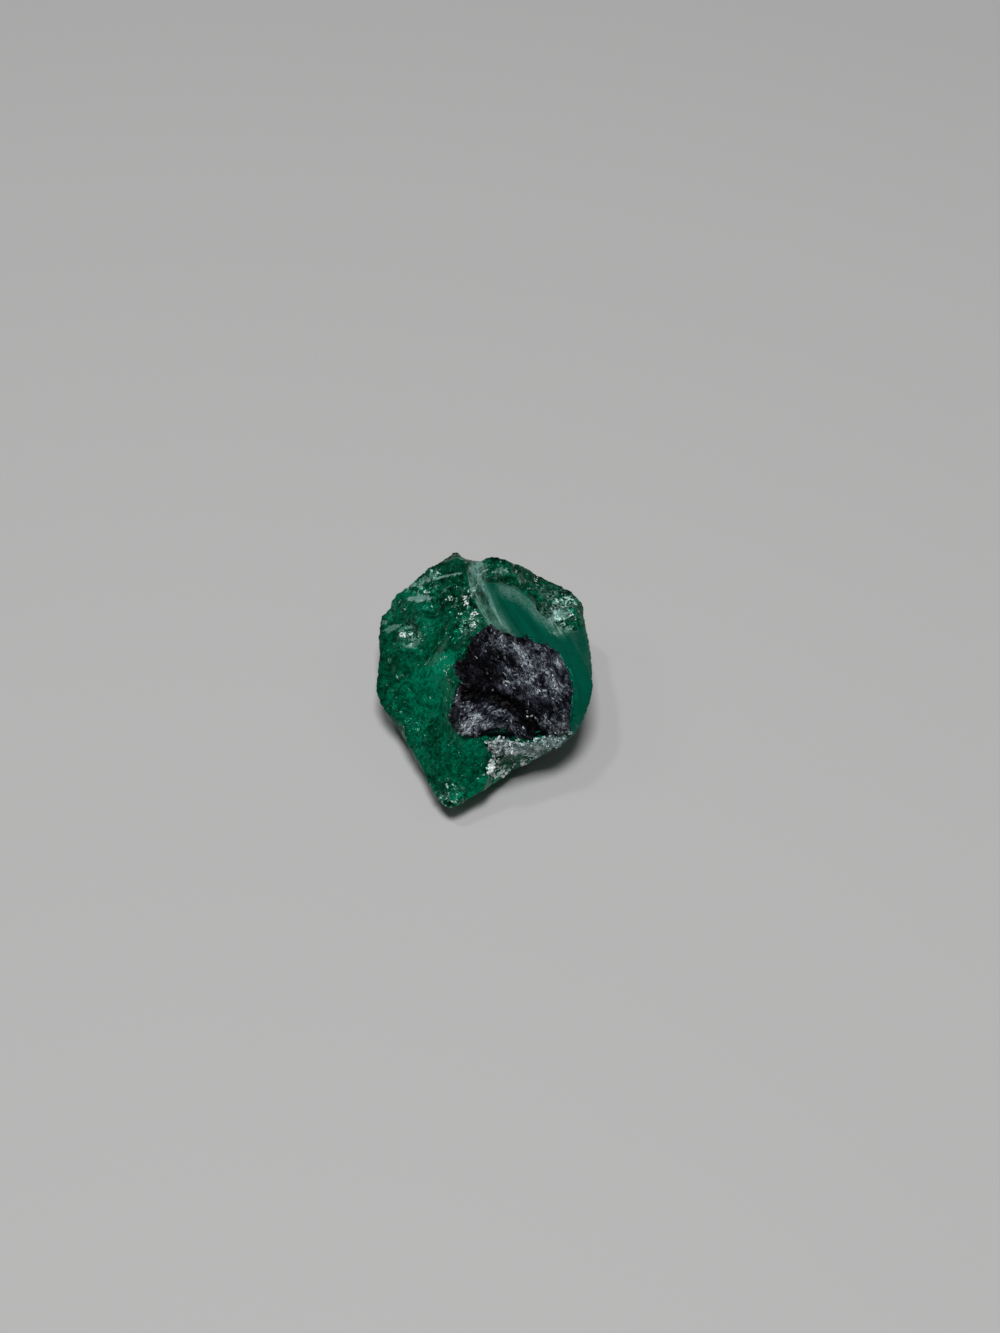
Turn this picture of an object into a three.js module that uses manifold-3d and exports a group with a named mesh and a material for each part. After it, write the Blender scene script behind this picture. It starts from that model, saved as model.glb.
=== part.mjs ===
// Raw emerald crystal: half of a broken six-sided beryl crystal, lying on the fracture that split it.
// One prism edge runs along the top as a ridge. A scrap of dark mica schist is grown over the front of
// the ridge, and a thin pale crust is grown into the face below the schist.
// Units are millimetres and +Z is up. The origin is on the resting face, under the middle of the stone.
import * as THREE from "three";
import { ConvexGeometry } from "three/addons/geometries/ConvexGeometry.js";
import { mergeVertices } from "three/addons/utils/BufferGeometryUtils.js";
import Module from "manifold-3d";

const wasm = await Module();
wasm.setup();

// Driving dimensions
const stoneWidth = 12.2; // across X
const stoneLength = 14.8; // along Y
const stoneHeight = 6.8; // the ridge above the resting face
const schistRise = 0.22; // how far the schist stands above the crystal's faces
const schistRoot = 0.7; // how deep the schist is grown into the crystal
const crustRise = 0.1;
const crustRoot = 0.35;
const growthGap = 0.08; // clearance between solids that grew against each other
const scoopFacets = 60; // round a shell-shaped fracture
const scrapLean = 40; // degrees from +Z towards -Y, the way the schist and the crust face

// The block's corners are shares of the driving dimensions: x and y are measured from the middle,
// and z is the height above the resting face.
const ridge = [
  [-0.1, 0.39, 0.93],
  [-0.01, 0.21, 0.97],
  [0.09, 0.01, 1],
  [0.16, -0.14, 0.96],
  [0.23, -0.25, 0.84],
  [0.29, -0.31, 0.65],
];

// The edge where the smooth right face ends and the broken zone begins
const bandEdge = [
  [0.04, 0.29, 0.94],
  [0.22, 0.21, 0.87],
  [0.37, 0.12, 0.77],
];

// Swellings of the big fracture left of the ridge
const shoulder = [
  [-0.29, 0.1, 0.68],
  [-0.2, -0.16, 0.6],
  [-0.06, -0.24, 0.76],
  [0.02, -0.36, 0.6],
  [0.06, -0.42, 0.4],
];

// The widest outline, where the upper faces meet the undercut, clockwise from the far end
const brim = [
  [-0.13, 0.49, 0.82],
  [0.04, 0.45, 0.88],
  [0.14, 0.43, 0.82],
  [0.31, 0.42, 0.68],
  [0.45, 0.35, 0.56],
  [0.47, 0.29, 0.56],
  [0.48, 0.11, 0.59],
  [0.5, -0.1, 0.59],
  [0.46, -0.2, 0.54],
  [0.43, -0.25, 0.47],
  [0.33, -0.33, 0.38],
  [0.17, -0.36, 0.29],
  [0.05, -0.43, 0.25],
  [-0.06, -0.49, 0.21],
  [-0.14, -0.51, 0.19],
  [-0.19, -0.46, 0.18],
  [-0.38, -0.18, 0.24],
  [-0.44, -0.14, 0.28],
  [-0.5, -0.03, 0.32],
  [-0.5, 0.1, 0.37],
  [-0.5, 0.24, 0.43],
  [-0.45, 0.35, 0.5],
  [-0.38, 0.42, 0.58],
  [-0.27, 0.465, 0.71],
];

// The flat fracture that the stone lies on
const restingFace = [
  [-0.3, 0.28, 0],
  [-0.12, 0.38, 0],
  [0.2, 0.35, 0],
  [0.36, 0.24, 0],
  [0.37, -0.04, 0],
  [0.3, -0.18, 0],
  [0.08, -0.26, 0],
  [-0.1, -0.36, 0],
  [-0.22, -0.22, 0],
  [-0.34, -0.04, 0],
  [-0.35, 0.14, 0],
];

// Shell-shaped fractures. Each takes a lens off the surface, where the line from a corner inside the
// block leaves it. Width and depth are the lens's, stretch is its length for each unit of width, and
// turn is the way its length runs.
const scoops = [
  // the two shells of the big glassy fracture left of the ridge
  { from: [-0.21, 0.1, 0.2], towards: [-0.42, -0.1, 0.9], width: 4, depth: 0.32, stretch: 1.25, turn: 70 },
  { from: [-0.2, -0.2, 0.2], towards: [-0.5, -0.35, 0.8], width: 3.6, depth: 0.3, stretch: 1.2, turn: 100 },
  // the hollow beside the ridge that the dark schist fills
  { from: [0.02, -0.06, 0.3], towards: [-0.35, -0.5, 0.8], width: 3.2, depth: 0.4, stretch: 1.2, turn: 60 },
  // the broken zone right of the ridge's far end
  { from: [0.22, 0.26, 0.3], towards: [0.4, 0.35, 0.85], width: 2.9, depth: 0.26, stretch: 1.6, turn: -40 },
  // the dip where the ridge meets the far end
  { from: [-0.05, 0.3, 0.6], towards: [0, 0.9, 0.42], width: 1.4, depth: 0.4, stretch: 1.2, turn: 90 },
  // bites out of the brim
  { from: [-0.3, -0.12, 0.2], towards: [-0.75, -0.6, 0.2], width: 1.5, depth: 0.15 },
  { from: [-0.2, -0.28, 0.2], towards: [-0.85, -0.5, 0.1], width: 1.9, depth: 0.14 },
  { from: [0.12, -0.3, 0.2], towards: [0.4, -0.9, 0.1], width: 2.6, depth: 0.25 },
  { from: [-0.3, 0.3, 0.35], towards: [-0.75, 0.6, 0.3], width: 1, depth: 0.08 },
  // the undercut sides
  { from: [0.2, 0, 0.2], towards: [0.95, 0, -0.3], width: 4.4, depth: 0.4, stretch: 1.5, turn: 90 },
  { from: [-0.2, 0.05, 0.12], towards: [-0.9, 0.1, -0.35], width: 3.2, depth: 0.35, stretch: 1.3, turn: 90 },
  { from: [0.12, 0.25, 0.3], towards: [0.2, 0.97, -0.1], width: 4.6, depth: 0.5, stretch: 1.3 },
  { from: [-0.15, 0.2, 0.35], towards: [-0.35, 0.9, 0.1], width: 3, depth: 0.3, stretch: 1.2 },
];

// Outlines of the schist and the crust, in millimetres, seen square to the way that they face:
// x runs along +X, and y runs away and up.
const schistOutline = [
  [0.2, 2.8],
  [-0.7, 2.4],
  [-1.1, 1.5],
  [-1.8, 0.6],
  [-1.45, -0.3],
  [-1.75, -1.2],
  [-1.6, -2.1],
  [-1.2, -3.25],
  [0.1, -3.1],
  [1.4, -3.1],
  [2.6, -3.2],
  [3.5, -2.85],
  [4.6, -2.6],
  [4.9, -1.4],
  [4.8, -0.1],
  [4.3, 1.1],
  [3.4, 1.9],
  [2.5, 2.1],
  [1.4, 2.6],
];

const crustOutline = [
  [0.05, -4.2],
  [0.2, -3.55],
  [1.4, -3.45],
  [2.6, -3.55],
  [3.4, -3.25],
  [3.7, -3.4],
  [3.4, -3.8],
  [2.8, -4.2],
  [2.2, -4.25],
  [1.2, -4.1],
];

// Turns a three.js geometry into a solid that can be cut and joined.
function solidOf(geometry) {
  const bare = geometry.clone();
  bare.deleteAttribute("normal");
  bare.deleteAttribute("uv");
  const merged = mergeVertices(bare, 1e-5);
  const vertProperties = new Float32Array(merged.attributes.position.array);
  const triVerts = new Uint32Array(merged.index.array);
  return new wasm.Manifold(new wasm.Mesh({ numProp: 3, vertProperties, triVerts }));
}

// Turns a solid back into a three.js geometry.
function geometryOf(solid) {
  const mesh = solid.getMesh();
  const geometry = new THREE.BufferGeometry();
  geometry.setAttribute("position", new THREE.BufferAttribute(mesh.vertProperties, 3));
  geometry.setIndex(new THREE.BufferAttribute(mesh.triVerts, 1));
  geometry.computeVertexNormals();
  return geometry;
}

function corner([x, y, z]) {
  return new THREE.Vector3(x * stoneWidth, y * stoneLength, z * stoneHeight);
}

const blockCorners = [...ridge, ...bandEdge, ...shoulder, ...brim, ...restingFace].map(corner);
const blockGeometry = new ConvexGeometry(blockCorners);

// The point where a line from inside the block, going towards a direction, leaves it
function surfacePoint(inside, outward) {
  const block = new THREE.Mesh(blockGeometry, new THREE.MeshBasicMaterial());
  const start = inside.clone().addScaledVector(outward, 2 * stoneLength);
  const caster = new THREE.Raycaster(start, outward.clone().negate());
  return caster.intersectObject(block)[0].point;
}

function scoop({ from, towards, width, depth, stretch = 1, turn = 0 }) {
  const outward = new THREE.Vector3(...towards).normalize();
  const radius = (width ** 2 / 4 + depth ** 2) / (2 * depth);
  const centre = surfacePoint(corner(from), outward).addScaledVector(outward, radius - depth);
  const ball = new THREE.SphereGeometry(radius, scoopFacets, scoopFacets / 2);
  ball.scale(stretch, 1, 1);
  ball.rotateZ(THREE.MathUtils.degToRad(turn));
  ball.applyQuaternion(new THREE.Quaternion().setFromUnitVectors(new THREE.Vector3(0, 0, 1), outward));
  ball.translate(centre.x, centre.y, centre.z);
  return solidOf(ball);
}

const lean = THREE.MathUtils.degToRad(scrapLean);
const facing = new THREE.Vector3(0, -Math.sin(lean), Math.cos(lean));

// A straight prism on an outline, square to the way that the scraps face, and longer than the stone
function prism(outline, share = 1) {
  const points = outline.map(([x, y]) => new THREE.Vector2(x, y));
  const middle = points.reduce((sum, p) => sum.add(p), new THREE.Vector2()).divideScalar(points.length);
  const shape = new THREE.Shape(points.map((p) => p.clone().sub(middle).multiplyScalar(share).add(middle)));
  const geometry = new THREE.ExtrudeGeometry(shape, { depth: stoneLength, bevelEnabled: false });
  geometry.rotateX(lean);
  geometry.translate(0, 0, stoneHeight * 0.44);
  return solidOf(geometry);
}

const blank = scoops.reduce((stone, cut) => stone.subtract(scoop(cut)), solidOf(blockGeometry));

// The blank moved along the way that the scraps face
function shifted(distance) {
  return blank.translate(facing.x * distance, facing.y * distance, facing.z * distance);
}

// A scrap follows the blank's surface, from its root below the surface to its rise above it.
function scrap(outline, rise, root) {
  return prism(outline).intersect(shifted(rise)).subtract(shifted(-root));
}

// A pocket holds a scrap with a little clearance all round.
function pocket(outline, root) {
  const widest = Math.max(...outline.map(([x]) => x)) - Math.min(...outline.map(([x]) => x));
  return prism(outline, 1 + 4 * growthGap / widest).subtract(shifted(-root - growthGap));
}

const stone = blank.subtract(pocket(schistOutline, schistRoot)).subtract(pocket(crustOutline, crustRoot));

const group = new THREE.Group();

function addPiece(name, solid, look) {
  const mesh = new THREE.Mesh(geometryOf(solid), new THREE.MeshStandardMaterial(look));
  mesh.name = name;
  group.add(mesh);
}

addPiece("emerald_crystal", stone, { color: 0x0a6b4c, roughness: 0.12, metalness: 0 });
addPiece("mica_patch", scrap(schistOutline, schistRise, schistRoot), { color: 0x2a2833, roughness: 0.5, metalness: 0 });
addPiece("pale_crust", scrap(crustOutline, crustRise, crustRoot), { color: 0x9fb0a8, roughness: 0.7, metalness: 0 });

// The origin goes under the middle of the stone.
const box = new THREE.Box3().setFromObject(group);
const middle = box.getCenter(new THREE.Vector3());
group.position.set(-middle.x, -middle.y, -box.min.z);

export default group;
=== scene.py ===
import math

import bpy
import numpy as np
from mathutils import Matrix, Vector, noise
from mathutils.bvhtree import BVHTree
from mathutils.kdtree import KDTree


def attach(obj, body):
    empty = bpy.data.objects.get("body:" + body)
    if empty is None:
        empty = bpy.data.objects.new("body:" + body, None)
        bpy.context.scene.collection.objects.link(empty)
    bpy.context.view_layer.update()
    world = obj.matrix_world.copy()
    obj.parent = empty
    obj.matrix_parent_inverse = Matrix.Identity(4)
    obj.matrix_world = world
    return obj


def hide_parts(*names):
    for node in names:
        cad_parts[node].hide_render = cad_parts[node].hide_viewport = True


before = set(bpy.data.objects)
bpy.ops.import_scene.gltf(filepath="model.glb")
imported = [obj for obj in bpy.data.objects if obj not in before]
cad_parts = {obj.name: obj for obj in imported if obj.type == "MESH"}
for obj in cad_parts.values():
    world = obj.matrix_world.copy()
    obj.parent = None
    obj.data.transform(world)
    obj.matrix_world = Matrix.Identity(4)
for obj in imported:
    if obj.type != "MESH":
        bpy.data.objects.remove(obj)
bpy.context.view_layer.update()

# Meshes are worked in millimetres, and go into Blender in metres.
mm = 0.001

# How the stone lies. "Across" and "up" are measured on a flat sheet in front of the stone, square to the look
# down on it, through which the eye sees the stone.
lie = {
    "lookDown": 50,          # degrees
    "middleHeight": 3.0,     # mm above the floor, the height that the eye is aimed over
    "aimAcross": 0.9,        # mm from the stone's middle to where the eye is aimed
    "aimUp": 0.62,
    "eyeDistance": 109,      # mm
    "sheetDistance": 105.7,  # mm from the eye
    "sheetUp": 0.08,         # mm
    "seed": 7,
}

lookDown = math.radians(lie["lookDown"])
towardEye = np.array([0, -math.cos(lookDown), math.sin(lookDown)])
upward = np.array([0, math.sin(lookDown), math.cos(lookDown)])
stoneMiddle = np.array([0, 0, lie["middleHeight"]])
aim = stoneMiddle + np.array([lie["aimAcross"], 0, 0]) + upward * lie["aimUp"]
eye = aim + towardEye * lie["eyeDistance"]
sheetShare = lie["sheetDistance"] / lie["eyeDistance"]
sheetMiddle = np.array([lie["aimAcross"], lie["aimUp"]]) * sheetShare + np.array([0, lie["sheetUp"]])
random = np.random.default_rng(lie["seed"])


def fade(value, start, end):
    share = np.clip((value - start) / (end - start), 0, 1)
    return share * share * (3 - 2 * share)


def unit(vectors):
    return vectors / np.maximum(np.linalg.norm(vectors, axis=-1, keepdims=True), 1e-12)


def acrossAndUp(points):
    away = points - eye
    share = lie["sheetDistance"] / -(away @ towardEye)
    return np.stack([away[:, 0] * share, (away @ upward) * share], axis=1) + sheetMiddle


# The way the eye looks through each (across, up)
def sightLines(flat):
    aside = flat - sheetMiddle
    return unit(aside[:, :1] * np.array([1, 0, 0]) + aside[:, 1:] * upward - towardEye * lie["sheetDistance"])


# Distance from flat or solid points to a line of straight stretches
def lineDistance(points, line):
    nearest = np.full(len(points), 1e9)
    line = np.asarray(line, float)
    for a, b in zip(line[:-1], line[1:]):
        step = b - a
        share = np.clip((points - a) @ step / (step @ step), 0, 1)
        nearest = np.minimum(nearest, np.linalg.norm(points - a - share[:, None] * step, axis=1))
    return nearest


# How far flat points lie to the left of a line of straight stretches, less than 0 on its right
def besideLine(flat, line):
    nearest, side = np.full(len(flat), 1e9), np.zeros(len(flat))
    line = np.asarray(line, float)
    for a, b in zip(line[:-1], line[1:]):
        step = b - a
        away = flat - a
        share = np.clip(away @ step / (step @ step), 0, 1)
        apart = np.linalg.norm(away - share[:, None] * step, axis=1)
        closer = apart < nearest
        nearest = np.where(closer, apart, nearest)
        side = np.where(closer, (step[0] * away[:, 1] - step[1] * away[:, 0]) / np.linalg.norm(step), side)
    return side


# How deep flat points lie inside an outline, less than 0 outside it
def insideBy(flat, outline):
    outline = np.asarray(outline, float)
    closed = np.vstack([outline, outline[:1]])
    within = np.zeros(len(flat), bool)
    for (x0, y0), (x1, y1) in zip(closed[:-1], closed[1:]):
        spans = (y0 > flat[:, 1]) != (y1 > flat[:, 1])
        meets = x0 + (flat[:, 1] - y0) * (x1 - x0) / (y1 - y0 + 1e-9)
        within ^= spans & (flat[:, 0] < meets)
    away = lineDistance(flat, closed)
    return np.where(within, away, -away)


def near(flat, spot, reach):
    return 1 - fade(np.linalg.norm(flat - np.array(spot), axis=1), reach * 0.4, reach)


def nearLine(flat, line, inner, outer):
    return 1 - fade(lineDistance(flat, line), inner, outer)


# The sum of soft round spots: (across, up), reach in mm and strength of each
def spotted(flat, spots):
    return sum(strength * near(flat, spot, reach) for spot, reach, strength in spots)


# The sum of soft lines: the marked line's name, where it starts to fade and ends in mm, and its strength
def lined(flat, lines):
    return sum(strength * nearLine(flat, marks[name], inner, outer) for name, inner, outer, strength in lines)


def flat3(flat):
    return np.column_stack([flat, np.zeros(len(flat))])


# Smooth seeded noise about 0, with features of about the given size in mm
def fractal(points, size, octaves=4, seed=0):
    shift = Vector((seed * 17.3, seed * 7.1, seed * 3.7))
    return np.array([noise.fractal(Vector(p) / size + shift, 0.8, 2.1, octaves) for p in points])


# The points of a CAD node in mm, and its triangles
def nodeTriangles(name):
    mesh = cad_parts[name].data
    mesh.calc_loop_triangles()
    points = np.empty(len(mesh.vertices) * 3)
    mesh.vertices.foreach_get("co", points)
    corners = np.empty(len(mesh.loop_triangles) * 3, np.int32)
    mesh.loop_triangles.foreach_get("vertices", corners)
    return points.reshape(-1, 3) / mm, corners.reshape(-1, 3)


# A closed skin of small even quads round CAD nodes, each swollen by so many mm, in mm
def evenSkin(swollen, cell):
    coarse = bpy.data.meshes.new("coarse")
    points, corners = np.zeros((0, 3)), np.zeros((0, 3), int)
    for name, swell in swollen.items():
        nodePoints, nodeCorners = nodeTriangles(name)
        nodePoints, merged = np.unique(nodePoints.round(4), axis=0, return_inverse=True)
        nodeCorners = merged.reshape(-1)[nodeCorners]
        nodePoints = nodePoints + swell * pointNormals(nodePoints, nodeCorners[:, [0, 1, 2, 2]])
        corners = np.concatenate([corners, nodeCorners + len(points)])
        points = np.concatenate([points, nodePoints])
    coarse.from_pydata(points.tolist(), [], corners.tolist())
    holder = bpy.data.objects.new("coarse", coarse)
    bpy.context.scene.collection.objects.link(holder)
    cells = holder.modifiers.new("cells", "REMESH")
    cells.mode = "VOXEL"
    cells.voxel_size = cell
    skin = bpy.data.meshes.new_from_object(holder.evaluated_get(bpy.context.evaluated_depsgraph_get()))
    points = np.empty(len(skin.vertices) * 3)
    skin.vertices.foreach_get("co", points)
    quads = np.array([face.vertices[:] if len(face.vertices) == 4 else (*face.vertices, face.vertices[-1])
                      for face in skin.polygons])
    bpy.data.objects.remove(holder)
    bpy.data.meshes.remove(coarse)
    bpy.data.meshes.remove(skin)
    return points.reshape(-1, 3), quads


def pointNormals(points, quads):
    across = np.cross(points[quads[:, 2]] - points[quads[:, 0]], points[quads[:, 3]] - points[quads[:, 1]])
    normals = np.zeros_like(points)
    for i in range(4):
        np.add.at(normals, quads[:, i], across)
    return unit(normals)


def smoothed(values, quads, rounds):
    count = np.zeros(len(values))
    for i in range(4):
        np.add.at(count, quads[:, i], 2)
    count = count.reshape(-1, *[1] * (values.ndim - 1))
    for _ in range(rounds):
        total = np.zeros_like(values)
        for i in range(4):
            np.add.at(total, quads[:, i], values[quads[:, (i + 1) % 4]] + values[quads[:, i - 1]])
        values = total / count
    return values


# How far each point stands out from its neighbours, in mm: above 0 on an edge, below 0 in a crease
def standOut(points, quads, rounds):
    calm = smoothed(points, quads, rounds)
    return ((points - calm) * pointNormals(calm, quads)).sum(1)


# Moves the points under a shallow bowl-shaped chip down onto the bowl, whose rings are as strong as ripple
def takeChip(points, centre, outward, width, depth, ripple):
    radius = (width * width / 4 + depth * depth) / (2 * depth)
    away = points - (centre + outward * (radius - depth))
    along = away @ outward
    asideSquared = np.maximum((away * away).sum(1) - along * along, 0)
    under = (along < 0) & (asideSquared + along * along < radius * radius)
    drop = along[under] + np.sqrt(np.maximum(radius * radius - asideSquared[under], 0))
    reach = np.sqrt(asideSquared[under]) / width
    drop *= 1 + ripple * np.sin(reach * 40)
    points[under] -= outward * np.minimum(drop, 3 * depth)[:, None]


# Takes many chips of different widths out of the chosen points, the widest first
def takeChips(points, quads, chosen, chips):
    normals = pointNormals(points, quads)
    spots = random.choice(np.flatnonzero(chosen), chips["count"])
    low, high = chips["widths"]
    sizes = np.sort(low * (high / low) ** random.random(chips["count"]) ** 1.6)[::-1]
    for spot, width in zip(spots, sizes):
        outward = unit(normals[spot] + random.normal(0, chips["tilt"], 3))
        depth = width * chips["deepness"] * random.uniform(0.6, 1.4)
        takeChip(points, points[spot], outward, width, depth, chips.get("ripple", 0))


# A mesh piece from points in mm; with sharpOver it is smooth apart from edges over that many degrees
def buildPiece(name, points, faces, finish, sharpOver=None):
    mesh = bpy.data.meshes.new(name)
    mesh.from_pydata((points * mm).tolist(), [], faces.tolist())
    mesh.validate()
    if sharpOver is not None:
        mesh.polygons.foreach_set("use_smooth", [True] * len(mesh.polygons))
        mesh.set_sharp_from_angle(angle=math.radians(sharpOver))
    mesh.materials.append(finish)
    piece = bpy.data.objects.new(name, mesh)
    bpy.context.scene.collection.objects.link(piece)
    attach(piece, "root")
    return piece


# One value for each point, which a finish reads by name
def paintPoints(piece, name, values):
    layer = piece.data.attributes.new(name, "FLOAT", "POINT")
    layer.data.foreach_set("value", np.asarray(values, np.float32))


# A place in mm for each point, for a pattern that runs its own way
def paintPlaces(piece, name, places):
    layer = piece.data.attributes.new(name, "FLOAT_VECTOR", "POINT")
    layer.data.foreach_set("vector", (places * mm).ravel())


# A random direction square to each given one
def anyAcross(directions):
    return unit(np.cross(directions, random.normal(0, 1, directions.shape)))


# Flat eight-sided splinters in one mesh: centres, outward and long directions, and length, width and
# thickness for each
def splinters(centres, outward, lengthwise, sizes):
    outward = unit(outward)
    lengthwise = unit(lengthwise - (lengthwise * outward).sum(1, keepdims=True) * outward)
    sideways = np.cross(outward, lengthwise)
    half = sizes / 2
    skew = random.uniform(-0.35, 0.35, (len(centres), 2))
    long, wide, thick = lengthwise * half[:, :1], sideways * half[:, 1:2], outward * half[:, 2:]
    tips = [centres - long, centres + wide + long * skew[:, :1], centres + long,
            centres - wide + long * skew[:, 1:], centres + thick, centres - thick]
    points = np.stack(tips, axis=1).reshape(-1, 3)
    upper = [(1, 4, 0), (2, 4, 1), (3, 4, 2), (0, 4, 3)]
    lower = [(0, 5, 1), (1, 5, 2), (2, 5, 3), (3, 5, 0)]
    pattern = np.array(upper + lower)
    faces = (np.arange(len(centres))[:, None, None] * 6 + pattern).reshape(-1, 3)
    return points, faces


# Rough blocks in one mesh, each a cube with its corners pushed about
def blocks(centres, outward, sizes):
    outward = unit(outward)
    lengthwise = anyAcross(outward)
    sideways = np.cross(outward, lengthwise)
    cube = np.array([(x, y, z) for z in (-1, 1) for y in (-1, 1) for x in (-1, 1)]) / 2
    corners = (cube + random.uniform(-0.2, 0.2, (len(centres), 8, 3))) * sizes[:, None, :]
    frames = np.stack([lengthwise, sideways, outward], axis=1)
    points = (centres[:, None, :] + corners @ frames).reshape(-1, 3)
    sides = [(0, 2, 3, 1), (4, 5, 7, 6), (0, 1, 5, 4), (1, 3, 7, 5), (3, 2, 6, 7), (2, 0, 4, 6)]
    pattern = np.array([corner for a, b, c, d in sides for corner in ((a, b, c), (a, c, d))])
    faces = (np.arange(len(centres))[:, None, None] * 8 + pattern).reshape(-1, 3)
    return points, faces


# A node's output, on which shader maths is written as expressions
class Wire:
    def __init__(self, finish, socket):
        self.finish = finish
        self.socket = socket

    def __add__(self, other):
        return self.finish.maths("ADD", self, other)

    def __sub__(self, other):
        return self.finish.maths("SUBTRACT", self, other)

    def __rsub__(self, other):
        return self.finish.maths("SUBTRACT", other, self)

    def __mul__(self, other):
        return self.finish.maths("MULTIPLY", self, other)

    def __pow__(self, other):
        return self.finish.maths("POWER", self, other)

    def __abs__(self):
        return self.finish.maths("ABSOLUTE", self, 0.0)

    __radd__ = __add__
    __rmul__ = __mul__


class Finish:
    def __init__(self, name):
        self.material = bpy.data.materials.new(name)
        self.material.use_nodes = True
        self.tree = self.material.node_tree
        self.tree.nodes.clear()

    # kind is the node's type without "ShaderNode"; a ramp's stops are (place, colour) pairs
    def add(self, kind, settings=None, sockets=None, output=0):
        node = self.tree.nodes.new("ShaderNode" + kind)
        for key, value in (settings or {}).items():
            if key == "stops":
                elements = node.color_ramp.elements
                while len(elements) < len(value):
                    elements.new(1.0)
                for element, (place, colour) in zip(elements, value):
                    element.position = place
                    element.color = (*colour, 1)
            else:
                setattr(node, key, value)
        for key, value in (sockets or {}).items():
            if isinstance(value, Wire):
                self.tree.links.new(value.socket, node.inputs[key])
            elif node.inputs[key].type == "RGBA":
                node.inputs[key].default_value = (*value, 1)
            else:
                node.inputs[key].default_value = value
        return Wire(self, node.outputs[output]) if node.outputs else node

    def maths(self, operation, a, b, clamp=False):
        return self.add("Math", {"operation": operation, "use_clamp": clamp}, {0: a, 1: b})

    def clamped(self, value):
        return self.maths("ADD", value, 0.0, clamp=True)

    def blend(self, share, first, second):
        return self.add("Mix", {"data_type": "RGBA"}, {0: share, 6: first, 7: second}, output=2)

    def ramp(self, value, *stops):
        return self.add("ValToRGB", {"stops": stops}, {"Fac": value})

    # A value read off a line of (place, value) pairs
    def profile(self, value, line):
        low, high = line[0][0], line[-1][0]
        stops = [((place - low) / (high - low), (level, level, level)) for place, level in line]
        return self.ramp((value - low) * (1 / (high - low)), *stops)

    def painted(self, name):
        return self.add("Attribute", {"attribute_name": name}, output="Fac")

    def paintedPlace(self, name):
        return self.add("Attribute", {"attribute_name": name}, output="Vector")

    def place(self):
        return self.add("TexCoord", output="Object")

    def grain(self, place, size, detail=3.0, roughness=0.55, twist=0.0):
        return self.add("TexNoise", sockets={"Vector": place, "Scale": 1 / (size * mm), "Detail": detail,
                                             "Roughness": roughness, "Distortion": twist})

    # Random values, each the same all over one small angular cell
    def cells(self, place, size):
        cell = self.add("TexVoronoi", {"feature": "F1"},
                        {"Vector": place, "Scale": 1 / (size * mm)}, output="Color")
        return self.add("SeparateColor", sockets={"Color": cell})

    # 1 on the lines between such cells, 0 away from them
    def net(self, place, size, width):
        apart = self.add("TexVoronoi", {"feature": "DISTANCE_TO_EDGE"},
                         {"Vector": place, "Scale": 1 / (size * mm)}, output="Distance")
        return self.clamped(1 - apart * (size / width))

    # Thin threads where a noise passes its middle value
    def threads(self, place, size, fineness, twist=1.0):
        return (1 - abs(self.grain(place, size, 3.0, 0.6, twist) - 0.5) * 2) ** fineness

    def finish(self, **wires):
        self.add("OutputMaterial", sockets=wires)
        return self.material


camera = {
    "longSideView": 38,      # degrees
    "sensor": 36,            # mm
}


def makeCamera():
    lens = bpy.data.cameras.new("camera")
    lens.sensor_width = camera["sensor"]
    lens.lens = camera["sensor"] / 2 / math.tan(math.radians(camera["longSideView"] / 2))
    lens.clip_start = 0.005
    lens.clip_end = 10
    holder = bpy.data.objects.new("camera", lens)
    bpy.context.scene.collection.objects.link(holder)
    holder.location = eye * mm
    holder.rotation_mode = "QUATERNION"
    holder.rotation_quaternion = Vector(-towardEye).to_track_quat("-Z", "Y")
    bpy.context.scene.camera = holder


makeCamera()
print("camera set")


def searchTree(points, faces):
    return BVHTree.FromPolygons(points.tolist(), faces.tolist())


crystalTree, patchTree, crustTree = [
    searchTree(*nodeTriangles(name)) for name in ("emerald_crystal", "mica_patch", "pale_crust")]


# The distance in mm from each point to a surface, or the most that counts
def distanceTo(tree, points, most=3.0):
    found = [tree.find_nearest(Vector(p), most)[3] for p in points]
    return np.array([most if d is None else d for d in found])


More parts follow.
